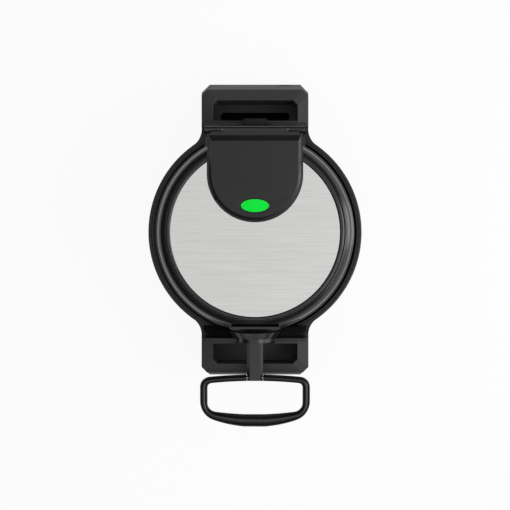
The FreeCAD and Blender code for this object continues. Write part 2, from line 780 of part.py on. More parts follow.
def make_upper_housing():
    body = new_body("upper_housing")
    make_housing(body, "1")
    arm_level = f"({axis} + arm_bottom)"
    extrude(body, "YZ", "-knuckle_half_width", "knuckle_half_width", [
        (arm_root, arm_level),
        (f"{hinge_distance} - knuckle_radius", arm_level),
        (f"{hinge_distance} + knuckle_radius", hinge_level, "knuckle_radius", "left"),
        (hinge_distance, f"{hinge_level} + knuckle_radius"),
        (arm_root, f"{hinge_level} + knuckle_radius"),
    ])
    bore = (hinge_distance, hinge_level, "hinge_pin_radius + running_clearance")
    extrude(body, "YZ", "-knuckle_half_width", "knuckle_half_width", bore, cut=True)
    seat = rectangle("-(cover_half_width + fit_gap)", "cover_half_width + fit_gap", "0", f"{lip_radius}")
    extrude(body, "XY", f"{axis} + {deck_top}", f"{axis} + head_height + bead_radius", seat, cut=True)
    lamp_hole = ("0", "lens_centre", "lamp_radius + fit_gap")
    extrude(body, "XY", f"{axis} + {deck_under}", f"{axis} + {deck_top}", lamp_hole, cut=True)
    block = rectangle(f"-{recess_half}", recess_half, f"{axis} + lip_height", f"{axis} + {deck_under}")
    extrude(body, "XZ", f"{recess_back} - recess_wall", f"{shoulder_edge} - head_wall / 2", block)
    recess = rectangle("-(latch_half_width + fit_gap)", "latch_half_width + fit_gap",
                       f"{axis} + lip_height + fit_gap", f"{axis} + head_height")
    extrude(body, "XZ", recess_back, f"{lip_radius} + boss_gap", recess, cut=True)
    front_flat = rectangle("-boss_radius", "boss_radius", axis, f"{axis} + head_height")
    extrude(body, "XZ", f"{lip_radius} - hinge_setback", f"{lip_radius} + boss_gap", front_flat, cut=True)
    pin_hole = (f"-{latch_distance}", f"{axis} + latch_pivot_height", "latch_pin_radius")
    extrude(body, "YZ", f"-{recess_half}", recess_half, pin_hole, cut=True)


def cover_outline(inset, rear):
    # Plan of the hinge cover: straight sides and a round front end
    half = f"(cover_half_width - {inset})"
    tip = f"(cover_tip + {inset})"
    spring = f"({tip} + {half})"
    return [
        (half, rear),
        (f"-{half}", rear),
        (f"-{half}", spring, half, "left"),
        ("0", tip, half, "left"),
        (half, spring),
    ]


def make_lower_cover_disc():
    body = new_body("lower_cover_disc")
    extrude(body, "XY", f"{axis} - head_height", f"{axis} - {deck_top}", ("0", "0", disc_radius))


def make_upper_cover_disc():
    body = new_body("upper_cover_disc")
    extrude(body, "XY", f"{axis} + {deck_top}", f"{axis} + head_height", ("0", "0", disc_radius))
    notch = cover_outline("-fit_gap", f"{lip_radius}")
    extrude(body, "XY", f"{axis} + {deck_top}", f"{axis} + head_height", notch, cut=True)


def ellipse_slab(name, grow, start, stop):
    curve = doc.addObject("Part::Ellipse", f"{name}_curve")
    bind(curve, MajorRadius=f"lens_half_length + {grow}", MinorRadius=f"lens_half_width + {grow}")
    bind(curve, Placement__Base__y="lens_centre", Placement__Base__z=start)
    slab = doc.addObject("Part::Extrusion", name)
    slab.Base = curve
    slab.DirMode = "Custom"
    slab.Dir = FreeCAD.Vector(0, 0, 1)
    slab.Solid = True
    bind(slab, LengthFwd=f"({stop}) - ({start})")
    return slab


def make_hinge_cover():
    # The cover's window is cut to the lens, whose flange sits under the cover's skin
    body = doc.addObject("PartDesign::Body", "hinge_cover_shell")
    base = f"({axis} + {deck_top})"
    top = f"({base} + cover_rise)"
    rim_top = f"({base} + cover_rim_height)"
    rear_edge = "(cover_rear - cover_rear_bevel)"
    extrude(body, "XY", base, rim_top, cover_outline("0", "cover_rear"))
    loft(body, "XY", (rim_top, cover_outline("cover_rim_width", "(cover_rear - cover_rim_width)")),
         (top, cover_outline("cover_bevel", rear_edge)))
    apron_bottom = f"({hinge_level} + knuckle_radius + fit_gap)"
    apron_face = "(cover_rear + apron_thickness)"
    extrude(body, "YZ", "-apron_half_width", "apron_half_width", [
        (rear_edge, base),
        ("cover_rear", base),
        ("cover_rear", apron_bottom),
        (apron_face, apron_bottom),
        (apron_face, rim_top),
        ("cover_rear - cover_rim_width", rim_top),
    ])
    skin = f"({top} - cover_wall)"
    hollow = cover_outline("(cover_bevel + cover_wall)", f"({rear_edge} - cover_wall)")
    extrude(body, "XY", base, skin, hollow, cut=True)
    cover = doc.addObject("Part::Cut", "hinge_cover_cut")
    cover.Base = body
    cover.Tool = ellipse_slab("lens_window", "running_clearance", base, f"{top} + cover_wall")
    finished(cover, "hinge_cover")
    lens = doc.addObject("Part::Fuse", "lens_fuse")
    lens.Base = ellipse_slab("lens_crown", "0", skin, f"{top} + fit_gap")
    lens.Tool = ellipse_slab("lens_rim", "lens_flange", f"{skin} - lens_flange", skin)
    finished(lens, "indicator_lens")


def make_lamp():
    start = f"({axis} + {deck_under} - lamp_tail)"
    stop = f"({axis} + {deck_top} + cover_rise - cover_wall - lens_flange)"
    rod("indicator_lamp", "lamp_radius + fit_gap", f"({stop}) - ({start})", "0", "lens_centre", start)


def make_half(prefix, sign):
    # Mould plate, heater, heat shield and controls of one half, from the parting plane outwards
    turn = "right" if sign == "1" else "left"

    def up(height):
        return f"({axis} + {sign} * ({height}))"

    def between(low, high):
        return (up(low), up(high)) if sign == "1" else (up(high), up(low))

    plate = new_body(f"{prefix}_mould_plate")
    extrude(plate, "XY", *between(half_gap, shield_seat), ("0", "0", mould_radius))
    shell = "(ring_minor + mould_wall)"
    cup = mould_ring(plate, shell, up, turn, False)
    hollow = mould_ring(plate, "ring_minor", up, turn, True)
    ring_of(plate, 4, cup, hollow)

    depth = f"({half_gap} + {shell} + heater_radius)"
    heater = doc.addObject("Part::Torus", f"{prefix}_heater_tube")
    bind(heater, Radius1=ring_orbit, Radius2="heater_radius", Angle3="heater_angle")
    bind(heater, Placement__Base__z=up(depth))
    # The open ends of the heater face the rear
    start = number("90 + (360 - heater_angle) / 2")
    heater.Placement.Rotation = FreeCAD.Rotation(FreeCAD.Vector(0, 0, 1), start)
    finished(heater, f"{prefix}_heating_element")

    shield = new_body(f"{prefix}_heat_shield")
    floor = f"({ledge_seat} + shield_depth)"
    revolve(shield, "XZ", "0", [
        (mould_radius, up(shield_seat)),
        (mould_radius, up(ledge_seat)),
        (shield_radius, up(ledge_seat)),
        (shield_radius, up(floor)),
        ("0", up(floor)),
        ("0", up(f"{floor} - shield_thickness")),
        (f"{shield_radius} - shield_thickness", up(f"{floor} - shield_thickness")),
        (f"{shield_radius} - shield_thickness", up(shield_seat)),
    ])
    # One pressing serves both halves, notched for the latch recess and the hinge arm
    latch_notch = rectangle(f"-({recess_half} + fit_gap)", f"{recess_half} + fit_gap",
                            f"-{mould_radius}", f"-({recess_back} - recess_wall - fit_gap)")
    extrude(shield, "XY", *between(ledge_seat, floor), latch_notch, cut=True)
    arm_notch = rectangle("-(knuckle_half_width + fit_gap)", "knuckle_half_width + fit_gap",
                          f"{arm_root} - fit_gap", mould_radius)
    extrude(shield, "XY", *between(ledge_seat, floor), arm_notch, cut=True)


def mould_ring(plate, radius, up, turn, cut):
    # Half of a ring tube, turned about an upright line through the ring's centre
    centre = f"({ring_offset} + ring_major)"
    drawing = sketch(plate, "XZ", ring_offset, [
        (f"{centre} - {radius}", up(half_gap), radius, turn),
        (centre, up(f"{half_gap} + {radius}"), radius, turn),
        (f"{centre} + {radius}", up(half_gap)),
    ])
    middle = number(ring_offset)
    spindle = drawing.addGeometry(
        Part.LineSegment(FreeCAD.Vector(middle, 0, 0), FreeCAD.Vector(middle, 1, 0)), True)
    drawing.addConstraint(Sketcher.Constraint("Vertical", spindle))
    across = drawing.addConstraint(Sketcher.Constraint("DistanceX", -1, 1, spindle, 1, middle))
    drawing.setExpression(f"Constraints[{across}]", bound(ring_offset))
    kind = "PartDesign::Groove" if cut else "PartDesign::Revolution"
    feature = plate.newObject(kind, f"{plate.Label}_ring")
    feature.Profile = drawing
    feature.ReferenceAxis = (drawing, ["Axis0"])
    feature.Angle = 360
    return feature


def make_controls():
    # Thermostat and thermal fuse sit on the back of the lower mould plate, between the rings
    back = f"({axis} - {shield_seat})"
    rod("thermostat", "thermostat_radius", "thermostat_height", "0", "0", f"{back} - thermostat_height")
    rod("thermal_fuse", "fuse_radius", "fuse_length", "fuse_offset", "0", f"{back} - fuse_radius", "x")


def make_pivot_tube():
    body = new_body("rear_pivot_tube")
    outside = ("0", axis, "pivot_radius")
    inside = ("0", axis, "pivot_bore")
    extrude(body, "XZ", f"-{well_near}", f"-({lip_radius} + boss_gap)", outside, inside)


def make_hinge_pin():
    rod("hinge_pin", "hinge_pin_radius", f"2 * {ear_far}", f"-{ear_far}", hinge_distance, hinge_level, "x")


def make_latch_pin():
    level = f"{axis} + latch_pivot_height"
    span = f"2 * {recess_half}"
    rod("latch_pin", "latch_pin_radius", span, f"-{recess_half}", f"-{latch_distance}", level, "x")


def make_latch():
    body = new_body("latch_lever")
    half = "latch_half_width"
    pivot = f"-{latch_distance}"
    level = f"({axis} + latch_pivot_height)"
    bottom = f"({axis} + latch_bottom)"
    top = f"({axis} + latch_top)"
    back = "(latch_thickness / 2)"
    extrude(body, "YZ", f"-{half}", half, [
        (f"{pivot} + {back} - latch_lean / 2", bottom),
        (f"{pivot} + {back} + latch_lean / 2", top),
        (f"{pivot} - {back} + latch_lean / 2", top),
        (f"{pivot} - {back} - latch_lean / 2", f"{bottom} + nose_height"),
        (f"{pivot} - {back} - latch_lean / 2", bottom),
    ])
    extrude(body, "YZ", f"-{half}", half, (pivot, level, "latch_knuckle"))
    nose_tip = f"-({boss_back} - nose_gap)"
    extrude(body, "YZ", "-nose_half_width", "nose_half_width", [
        (f"{pivot} - latch_lean / 2", bottom),
        (f"{pivot} - latch_lean / 2", f"{bottom} + 2 * nose_height"),
        (nose_tip, f"{bottom} + nose_height"),
        (nose_tip, bottom),
    ])
    bore = (pivot, level, "latch_pin_radius + running_clearance")
    extrude(body, "YZ", f"-{half}", half, bore, cut=True)


def make_handle_stem():
    body = new_body("handle_stem")
    eye = f"-{rod_distance}"

    def section(half_height, drop):
        low, high = f"{axis} - {half_height}", f"{axis} + {half_height}"
        flat = "(stem_half_width - stem_bevel)"
        return [
            (f"-{flat}", low), (flat, low), ("stem_half_width", f"{low} + {drop}"),
            ("stem_half_width", f"{high} - {drop}"), (flat, high), (f"-{flat}", high),
            ("-stem_half_width", f"{high} - {drop}"), ("-stem_half_width", f"{low} + {drop}"),
        ]
    loft(body, "XZ", (journal_front, section("stem_root", "stem_bevel")),
         (rod_distance, section("stem_eye", "(stem_bevel / 2)")))
    extrude(body, "YZ", "-stem_half_width", "stem_half_width", (eye, axis, "stem_eye"))
    bore = (eye, axis, "rod_radius + running_clearance")
    extrude(body, "YZ", "-stem_half_width", "stem_half_width", bore, cut=True)


def loop_outline(half, near, far, near_corner, far_corner, near_bow, far_bow):
    # Straight sides and two bowed bars, all joined by tangent corner arcs
    def tangent(corner, bow):
        drop = f"sqrt(({bow} - {corner})^2 - ({half} - {corner})^2)"
        share = f"({bow} / ({bow} - {corner}))"
        return drop, f"(({half} - {corner}) * {share})", f"({drop} * {share})"
    near_drop, near_x, near_rise = tangent(near_corner, near_bow)
    far_drop, far_x, far_rise = tangent(far_corner, far_bow)
    near_side = f"-({near} + {near_bow} - {near_drop})"
    near_end = f"-({near} + {near_bow} - {near_rise})"
    far_side = f"-({far} - {far_bow} + {far_drop})"
    far_end = f"-({far} - {far_bow} + {far_rise})"
    return [
        (half, near_side),
        (half, far_side, far_corner, "right"),
        (far_x, far_end, far_bow, "right"),
        (f"-{far_x}", far_end, far_corner, "right"),
        (f"-{half}", far_side),
        (f"-{half}", near_side, near_corner, "right"),
        (f"-{near_x}", near_end, near_bow, "right"),
        (near_x, near_end, near_corner, "right"),
    ]


def make_handle_loop():
    body = new_body("handle_loop")

    def bar(inset):
        # Outer and inner edge of the bar, both drawn in towards its middle
        outside = loop_outline(
            f"(loop_half_width - {inset})", f"({loop_near} + {inset})", f"({loop_far} - {inset})",
            f"(loop_near_corner - {inset})", f"(loop_far_corner - {inset})",
            f"(loop_near_bow - {inset})", f"(loop_far_bow - {inset})")
        inside = loop_outline(
            f"(loop_half_width - loop_rail + {inset})", f"({loop_near} + loop_bar - {inset})",
            f"({loop_far} - loop_grip + {inset})",
            f"(hole_near_corner + {inset})", f"(hole_far_corner + {inset})",
            f"(loop_near_bow + {inset})", f"(hole_far_bow + {inset})")
        return outside, inside
    low = f"({axis} - loop_thickness / 2)"
    high = f"({axis} + loop_thickness / 2)"
    ring = extrude(body, "XY", f"{low} + crest_height", f"{high} - crest_height", *bar("0"))
    doc.recompute()
    level_faces = [place for place, face in enumerate(ring.Shape.Faces, 1)
                   if face.BoundBox.ZLength < face.Tolerance]
    fillet = body.newObject("PartDesign::Fillet", "handle_loop_round")
    fillet.Base = (ring, [f"Face{place}" for place in level_faces])
    bind(fillet, Radius="loop_round")
    # A raised crest runs round both faces of the bar
    extrude(body, "XY", low, high, *bar("crest_inset"))
    gap = "(stem_half_width + fit_gap)"
    opening = rectangle(f"-{gap}", gap, f"-({rod_distance} + loop_bar)", f"-({rod_distance} - loop_bar)")
    extrude(body, "XY", low, high, opening, cut=True)
    bore = (f"-{rod_distance}", axis, "rod_radius")
    extrude(body, "YZ", "-rod_half_length", "rod_half_length", bore, cut=True)


def make_handle_rod():
    rod("handle_rod", "rod_radius", "2 * rod_half_length", "-rod_half_length", f"-{rod_distance}", axis, "x")


make_base_plate()
make_rubber_feet()
make_base_bowl()
make_front_post()
make_rear_post()
make_front_panel()
make_rear_panel()
make_front_saddle()
make_rear_bearing()
make_cord_gland()
make_drip_tray()
make_lower_housing()
make_lower_cover_disc()
make_half("lower", "-1")
make_controls()
make_pivot_tube()
make_hinge_pin()
make_handle_stem()
make_upper_housing()
make_upper_cover_disc()
make_hinge_cover()
make_lamp()
make_half("upper", "1")
make_latch_pin()
make_latch()
make_handle_loop()
make_handle_rod()
doc.recompute()

faults = []
for feature in doc.Objects:
    if "Invalid" in feature.State or "Error" in feature.State:
        faults.append(f"{feature.Label}: {feature.State}")
for node in nodes:
    if node.Shape.isNull() or not node.Shape.isValid():
        faults.append(f"{node.Label}: bad shape")
if faults:
    raise RuntimeError("; ".join(faults))

os.makedirs("parts", exist_ok=True)
for node in nodes:
    node.Shape.exportStep(f"parts/{node.Label}.step")
    print(f"{node.Label}: {len(node.Shape.Solids)} solid, {node.Shape.Volume:.0f} mm3")
print(f"turning axis at {number(axis):.2f}, head radius {number(lip_radius):.2f}")
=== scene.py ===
import bpy
import bmesh
import json
import math
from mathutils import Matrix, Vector


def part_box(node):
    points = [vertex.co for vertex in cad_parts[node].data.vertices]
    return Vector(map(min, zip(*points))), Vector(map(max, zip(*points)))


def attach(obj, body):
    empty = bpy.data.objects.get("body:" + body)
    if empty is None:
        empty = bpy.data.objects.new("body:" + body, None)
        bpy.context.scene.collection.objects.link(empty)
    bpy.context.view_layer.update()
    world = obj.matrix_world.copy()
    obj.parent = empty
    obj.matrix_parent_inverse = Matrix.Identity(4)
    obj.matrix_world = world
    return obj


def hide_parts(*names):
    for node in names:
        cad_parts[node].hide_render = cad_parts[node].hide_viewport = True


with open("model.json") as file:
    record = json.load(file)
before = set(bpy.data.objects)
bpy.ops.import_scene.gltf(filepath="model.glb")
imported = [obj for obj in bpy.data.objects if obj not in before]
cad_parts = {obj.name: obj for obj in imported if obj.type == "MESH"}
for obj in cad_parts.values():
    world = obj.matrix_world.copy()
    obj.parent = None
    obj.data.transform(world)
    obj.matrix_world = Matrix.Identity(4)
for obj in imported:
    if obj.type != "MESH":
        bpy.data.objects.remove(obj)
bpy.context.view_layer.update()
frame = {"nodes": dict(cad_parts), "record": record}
nodes = frame["nodes"]
print("frame loaded:", len(nodes), "nodes")

mm = 0.001
headY, axisZ = 18.1, 121.988  # head's centre, in mm behind and above the origin
noiseLow, noiseHigh = 0.3, 0.7  # nearly all values of a noise texture lie between these


def toLinear(hexColour):
    # sRGB hex to linear RGBA
    parts = [int(hexColour[i:i + 2], 16) / 255 for i in (1, 3, 5)]
    return [p / 12.92 if p <= 0.04045 else ((p + 0.055) / 1.055) ** 2.4 for p in parts] + [1.0]


def addNode(tree, kind, links=None, **settings):
    # Links hold a socket to join or a value to set, for each input; settings are the node's own
    node = tree.nodes.new(kind)
    for name, value in settings.items():
        setattr(node, name, value)
    for socket, value in (links or {}).items():
        if isinstance(value, bpy.types.NodeSocket):
            tree.links.new(value, node.inputs[socket])
        else:
            node.inputs[socket].default_value = value
    return node


def newFinish(name, sockets):
    # A material with its shader, its output and the Object coordinates that patterns read
    material = bpy.data.materials.new(name)
    material.use_nodes = True
    tree = material.node_tree
    tree.nodes.clear()
    shader = addNode(tree, "ShaderNodeBsdfPrincipled", sockets)
    addNode(tree, "ShaderNodeOutputMaterial", {"Surface": shader.outputs["BSDF"]})
    place = addNode(tree, "ShaderNodeTexCoord").outputs["Object"]
    return material, tree, shader, place


def dress(tree, shader, sources):
    # Leads what the patterns give to the shader
    for socket, source in sources.items():
        tree.links.new(source, shader.inputs[socket])


def moulded(name, look):
    # Injection-moulded plastic: a fine tool texture, slow changes of gloss from the flow of the
    # melt, edges that the mould leaves a little round, and a painted highlight that makes those edges a
    # little paler
    reliefMm = 0.05
    # Where the painted edge highlight starts and where it is whole
    highlightStarts, highlightWhole = 0.995, 0.8  # cosine of the turn from the flat face to its rounded edge
    material, tree, shader, place = newFinish(name, {
        "IOR": look["ior"], "Specular IOR Level": look["sheen"]})
    flow = addNode(tree, "ShaderNodeTexNoise", {
        "Vector": place, "Scale": 1 / (look["flowMm"] * mm), "Detail": 3.0})
    grain = addNode(tree, "ShaderNodeTexNoise", {
        "Vector": place, "Scale": 1 / (look["grainMm"] * mm), "Detail": 2.0})
    rounded = addNode(tree, "ShaderNodeBevel", {"Radius": look["edgeMm"] * mm}, samples=4)
    straight = addNode(tree, "ShaderNodeNewGeometry")
    turned = addNode(tree, "ShaderNodeVectorMath", {
        0: rounded.outputs["Normal"], 1: straight.outputs["Normal"]}, operation="DOT_PRODUCT")
    edge = addNode(tree, "ShaderNodeMapRange", {
        "Value": turned.outputs["Value"], "From Min": highlightStarts, "From Max": highlightWhole})
    body = addNode(tree, "ShaderNodeMix", {
        "Factor": flow.outputs["Fac"], "A": toLinear(look["deep"]),
        "B": toLinear(look["pale"])}, data_type="RGBA")
    # Painted highlight: the rounded edges are mixed towards a paler colour, standing in for the light they
    # catch
    edgeHighlight = addNode(tree, "ShaderNodeMix", {
        "Factor": edge.outputs["Result"], "A": body.outputs["Result"],
        "B": toLinear(look["edgeHighlight"])}, data_type="RGBA")
    gloss = addNode(tree, "ShaderNodeMapRange", {
        "Value": flow.outputs["Fac"], "From Min": noiseLow, "From Max": noiseHigh,
        "To Min": look["rough"][0], "To Max": look["rough"][1]})
    bump = addNode(tree, "ShaderNodeBump", {
        "Strength": look["bump"], "Distance": reliefMm * mm, "Height": grain.outputs["Fac"],
        "Normal": rounded.outputs["Normal"]})
    dress(tree, shader, {"Base Color": edgeHighlight.outputs["Result"], "Roughness": gloss.outputs["Result"],
                         "Normal": bump.outputs["Normal"]})
    return material


# Black ABS in four textures: spark-eroded satin, a coarser matt one, semi-gloss and a smooth grip.
# The real grain is about 0.1 mm; it is drawn coarser here so that it still shows
# In these looks and those below, the colour given for the edges is a painted highlight
absSatin = moulded("blackAbsSatin", {
    "deep": "#101011", "pale": "#151516", "edgeHighlight": "#1b1b1c", "ior": 1.53, "sheen": 0.38,
    "rough": (0.32, 0.4), "flowMm": 60, "grainMm": 0.9, "bump": 0.25, "edgeMm": 0.35})
# Matt: its paler grey base is painted sheen, standing in for the light that the posts' slopes reflect and
# that its low specular level leaves out
absMattPaintedSheen = moulded("blackAbsMatt", {
    "deep": "#363637", "pale": "#3d3d3e", "edgeHighlight": "#434344", "ior": 1.53, "sheen": 0.3,
    "rough": (0.66, 0.74), "flowMm": 60, "grainMm": 1.1, "bump": 0.3, "edgeMm": 0.35})
absGloss = moulded("blackAbsGloss", {
    "deep": "#0d0d0e", "pale": "#131314", "edgeHighlight": "#19191a", "ior": 1.53, "sheen": 0.5,
    "rough": (0.2, 0.27), "flowMm": 80, "grainMm": 2.5, "bump": 0.06, "edgeMm": 0.35})
absGrip = moulded("blackAbsGrip", {
    "deep": "#121213", "pale": "#181819", "edgeHighlight": "#1e1e1f", "ior": 1.53, "sheen": 0.5,
    "rough": (0.3, 0.38), "flowMm": 50, "grainMm": 1.2, "bump": 0.15, "edgeMm": 0.35})
# Glass-filled nylon of the bearings: dull from its fibres
nylonBearing = moulded("filledNylon", {
    "deep": "#101011", "pale": "#161617", "edgeHighlight": "#222223", "ior": 1.53, "sheen": 0.2,
    "rough": (0.5, 0.6), "flowMm": 25, "grainMm": 1.1, "bump": 0.3, "edgeMm": 0.5})
# Polycarbonate lamp holder: opaque white, and glossier than the ABS beside it
lampWhite = moulded("whitePolycarbonate", {
    "deep": "#d8d6d0", "pale": "#e2e0da", "edgeHighlight": "#ecebe6", "ior": 1.58, "sheen": 0.5,
    "rough": (0.3, 0.36), "flowMm": 20, "grainMm": 1.0, "bump": 0.1, "edgeMm": 0.3})
print("plastics made")


def brushedSteel():
    # Stainless sheet, belt-brushed straight across: long fine scratches that streak the reflection.
    # Real scratches are about 0.05 mm wide; they are drawn 0.8 mm wide so that they show
    look = {"dark": "#cbcbca", "light": "#dddddb", "scratchMm": 0.8, "lengthMm": 60,
            "rough": (0.27, 0.35), "bump": 0.12, "reliefMm": 0.02}
    material, tree, shader, place = newFinish("brushedStainless", {"Metallic": 1.0})
    along, across = 1 / (look["lengthMm"] * mm), 1 / (look["scratchMm"] * mm)
    stretch = addNode(tree, "ShaderNodeMapping", {"Vector": place, "Scale": (along, across, across)})
    scratch = addNode(tree, "ShaderNodeTexNoise", {
        "Vector": stretch.outputs["Vector"], "Scale": 1.0, "Detail": 5.0, "Roughness": 0.65})
    tone = addNode(tree, "ShaderNodeMapRange", {
        "Value": scratch.outputs["Fac"], "From Min": noiseLow, "From Max": noiseHigh})
    colour = addNode(tree, "ShaderNodeMix", {
        "Factor": tone.outputs["Result"], "A": toLinear(look["dark"]),
        "B": toLinear(look["light"])}, data_type="RGBA")
    gloss = addNode(tree, "ShaderNodeMapRange", {
        "Value": scratch.outputs["Fac"], "From Min": noiseLow, "From Max": noiseHigh,
        "To Min": look["rough"][0], "To Max": look["rough"][1]})
    bump = addNode(tree, "ShaderNodeBump", {
        "Strength": look["bump"], "Distance": look["reliefMm"] * mm, "Height": scratch.outputs["Fac"]})
    dress(tree, shader, {"Base Color": colour.outputs["Result"], "Roughness": gloss.outputs["Result"],
                         "Normal": bump.outputs["Normal"]})
    return material


def sheetMetal(name, look):
    # Bare metal off the press or the drawing bench: faint cloudy tarnish and fine pits
    material, tree, shader, place = newFinish(name, {"Metallic": 1.0})
    cloud = addNode(tree, "ShaderNodeTexNoise", {
        "Vector": place, "Scale": 1 / (look["cloudMm"] * mm), "Detail": 4.0})
    pits = addNode(tree, "ShaderNodeTexNoise", {
        "Vector": place, "Scale": 1 / (look["pitMm"] * mm), "Detail": 2.0})
    colour = addNode(tree, "ShaderNodeMix", {
        "Factor": cloud.outputs["Fac"], "A": toLinear(look["dark"]),
        "B": toLinear(look["light"])}, data_type="RGBA")
    gloss = addNode(tree, "ShaderNodeMapRange", {
        "Value": cloud.outputs["Fac"], "From Min": noiseLow, "From Max": noiseHigh,
        "To Min": look["rough"][0], "To Max": look["rough"][1]})
    bump = addNode(tree, "ShaderNodeBump", {
        "Strength": look["bump"], "Distance": look["reliefMm"] * mm, "Height": pits.outputs["Fac"]})
    dress(tree, shader, {"Base Color": colour.outputs["Result"], "Roughness": gloss.outputs["Result"],
                         "Normal": bump.outputs["Normal"]})
    return material


steelStainless = brushedSteel()
steelDrawn = sheetMetal("drawnSteel", {
    "dark": "#8d8d8c", "light": "#a9a9a7", "cloudMm": 12, "pitMm": 0.8,
    "rough": (0.22, 0.32), "bump": 0.1, "reliefMm": 0.02})
aluminiumSheet = sheetMetal("pressedAluminium", {
    "dark": "#b9bab9", "light": "#d2d3d2", "cloudMm": 30, "pitMm": 1.0,
    "rough": (0.35, 0.45), "bump": 0.1, "reliefMm": 0.02})
print("metals made")


def nonStick():
    # PTFE coating on cast aluminium: dark, soft gloss, with the fine paler fleck of its filler
    look = {"coat": "#232324", "fleck": "#4a4a4b", "fleckMm": 1.4, "fleckRim": 0.22, "fleckCore": 0.1,
            "fleckShare": 0.6, "castMm": 6.0, "rough": (0.34, 0.44), "bump": 0.15, "reliefMm": 0.05}
    material, tree, shader, place = newFinish("nonStickCoating", {"IOR": 1.38})
    fleck = addNode(tree, "ShaderNodeTexVoronoi", {"Vector": place, "Scale": 1 / (look["fleckMm"] * mm)})
    cast = addNode(tree, "ShaderNodeTexNoise", {
        "Vector": place, "Scale": 1 / (look["castMm"] * mm), "Detail": 3.0})
    spots = addNode(tree, "ShaderNodeMapRange", {
        "Value": fleck.outputs["Distance"], "From Min": look["fleckRim"], "From Max": look["fleckCore"],
        "To Max": look["fleckShare"]})
    colour = addNode(tree, "ShaderNodeMix", {
        "Factor": spots.outputs["Result"], "A": toLinear(look["coat"]),
        "B": toLinear(look["fleck"])}, data_type="RGBA")
    gloss = addNode(tree, "ShaderNodeMapRange", {
        "Value": cast.outputs["Fac"], "From Min": noiseLow, "From Max": noiseHigh,
        "To Min": look["rough"][0], "To Max": look["rough"][1]})
    bump = addNode(tree, "ShaderNodeBump", {
        "Strength": look["bump"], "Distance": look["reliefMm"] * mm, "Height": cast.outputs["Fac"]})
    dress(tree, shader, {"Base Color": colour.outputs["Result"], "Roughness": gloss.outputs["Result"],
                         "Normal": bump.outputs["Normal"]})
    return material


def footRubber():
    # Moulded rubber: nearly matt, with the dust-grey bloom that wax leaves on it
    look = {"deep": "#121212", "bloom": "#242424", "bloomMm": 7, "grainMm": 0.8,
            "rough": (0.7, 0.85), "bump": 0.3, "reliefMm": 0.05}
    material, tree, shader, place = newFinish("mouldedRubber", {"IOR": 1.5})
    bloom = addNode(tree, "ShaderNodeTexNoise", {
        "Vector": place, "Scale": 1 / (look["bloomMm"] * mm), "Detail": 4.0})
    grain = addNode(tree, "ShaderNodeTexNoise", {"Vector": place, "Scale": 1 / (look["grainMm"] * mm)})
    colour = addNode(tree, "ShaderNodeMix", {
        "Factor": bloom.outputs["Fac"], "A": toLinear(look["deep"]),
        "B": toLinear(look["bloom"])}, data_type="RGBA")
    gloss = addNode(tree, "ShaderNodeMapRange", {
        "Value": bloom.outputs["Fac"], "To Min": look["rough"][0], "To Max": look["rough"][1]})
    bump = addNode(tree, "ShaderNodeBump", {
        "Strength": look["bump"], "Distance": look["reliefMm"] * mm, "Height": grain.outputs["Fac"]})
    dress(tree, shader, {"Base Color": colour.outputs["Result"], "Roughness": gloss.outputs["Result"],
                         "Normal": bump.outputs["Normal"]})
    return material


def lensAcrylic():
    # Dyed acrylic lens over a lamp: clear gloss outside, a fine moulded stipple that spreads the light
    look = {"deep": "#00c832", "bright": "#00d737", "stippleMm": 1.6, "bump": 0.2, "reliefMm": 0.1}
    material, tree, shader, place = newFinish("greenAcrylic", {
        "IOR": 1.49, "Roughness": 0.12, "Specular IOR Level": 0.15, "Emission Strength": 0.45})
    stipple = addNode(tree, "ShaderNodeTexVoronoi", {
        "Vector": place, "Scale": 1 / (look["stippleMm"] * mm)})
    colour = addNode(tree, "ShaderNodeMix", {
        "Factor": stipple.outputs["Distance"], "A": toLinear(look["bright"]),
        "B": toLinear(look["deep"])}, data_type="RGBA")
    bump = addNode(tree, "ShaderNodeBump", {
        "Strength": look["bump"], "Distance": look["reliefMm"] * mm, "Height": stipple.outputs["Distance"]})
    dress(tree, shader, {"Base Color": colour.outputs["Result"], "Emission Color": colour.outputs["Result"],
                         "Normal": bump.outputs["Normal"]})
    return material


finishes = {
    "black_satin": absSatin, "black_gloss": absGloss, "black_grip": absGrip, "dark_bearing": nylonBearing,
    "rubber": footRubber(), "brushed_cover": steelStainless, "nonstick": nonStick(), "steel": steelDrawn,
    "shield": aluminiumSheet, "green_lens": lensAcrylic(), "lamp_body": lampWhite,
}
# The posts take the matt finish, whose paler grey is painted sheen
mattNodes = ("front_post", "rear_post")
slotOf = {subpart["node"]: subpart["material_slot"] for subpart in frame["record"]["subparts"]}
bodies = frame["record"]["behaviour"]["bodies"]
bodyOf = {nodeName: body for body, members in bodies.items() for nodeName in members}
for nodeName, slot in slotOf.items():
    skin = nodes[nodeName].data.materials
    skin.clear()
    skin.append(absMattPaintedSheen if nodeName in mattNodes else finishes[slot])
print("finishes on the nodes")


def newPiece(name, mesh, slot, body, *replaced, sharpFrom=38, finish=None):
    # Links a finished mesh, gives it its finish and lets it ride on its body
    mesh.materials.clear()
    mesh.materials.append(finish or finishes[slot])
    piece = bpy.data.objects.new(name, mesh)
    bpy.context.scene.collection.objects.link(piece)
    for face in mesh.polygons:
        face.use_smooth = True
    mesh.set_sharp_from_angle(angle=math.radians(sharpFrom))
    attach(piece, body)
    if replaced:
        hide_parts(*replaced)


def closedMesh(name, rings, capEnds=True):
    # Skins rings of points, given in mm, into one closed shell
    weldMm = 0.001
    shell = bmesh.new()
    rows = [[shell.verts.new([value * mm for value in point]) for point in ring] for ring in rings]
    count = len(rows[0])
    for here, there in zip(rows, rows[1:]):
        for i in range(count):
            after = (i + 1) % count
            shell.faces.new((here[i], here[after], there[after], there[i]))
    if capEnds:
        shell.faces.new(rows[0])
        shell.faces.new(rows[-1])
    bmesh.ops.remove_doubles(shell, verts=shell.verts, dist=weldMm * mm)
    bmesh.ops.recalc_face_normals(shell, faces=shell.faces)
    mesh = bpy.data.meshes.new(name)
    shell.to_mesh(mesh)
    shell.free()
    return mesh


